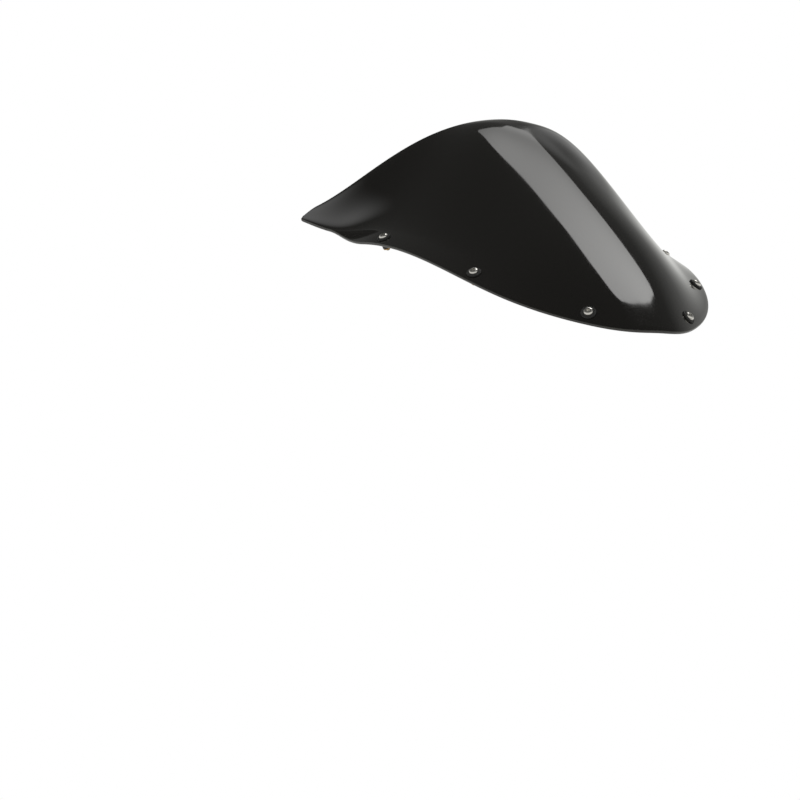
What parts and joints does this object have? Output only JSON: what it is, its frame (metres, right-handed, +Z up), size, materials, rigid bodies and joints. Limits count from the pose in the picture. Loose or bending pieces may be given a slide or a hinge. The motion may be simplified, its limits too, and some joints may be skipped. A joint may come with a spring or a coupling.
{
  "type": "motorcycle windscreen",
  "caption": "Gloss black double-bubble motorcycle windscreen with swept tail tips, a mounting flange round its lower edge and rubber well nuts tapped for screws.",
  "frame": {"origin": "centre of the bounding box's bottom face, with the screen in its attitude on the motorcycle", "axes": "+X to the rider's left, +Y to the rear, +Z up; the nose points to -Y"},
  "size_m": [0.4184, 0.4424, 0.2698],
  "materials": {
    "black_acrylic": "polished gloss",
    "rubber": "matt",
    "brass": "turned"
  },
  "bodies": {
    "root": {"windscreen": "black_acrylic", "sleeve_front_right": "rubber", "insert_front_right": "brass", "sleeve_front_left": "rubber", "insert_front_left": "brass", "sleeve_middle_right": "rubber", "insert_middle_right": "brass", "sleeve_middle_left": "rubber", "insert_middle_left": "brass", "sleeve_rear_right": "rubber", "insert_rear_right": "brass", "sleeve_rear_left": "rubber", "insert_rear_left": "brass"}
  },
  "joints": []
}
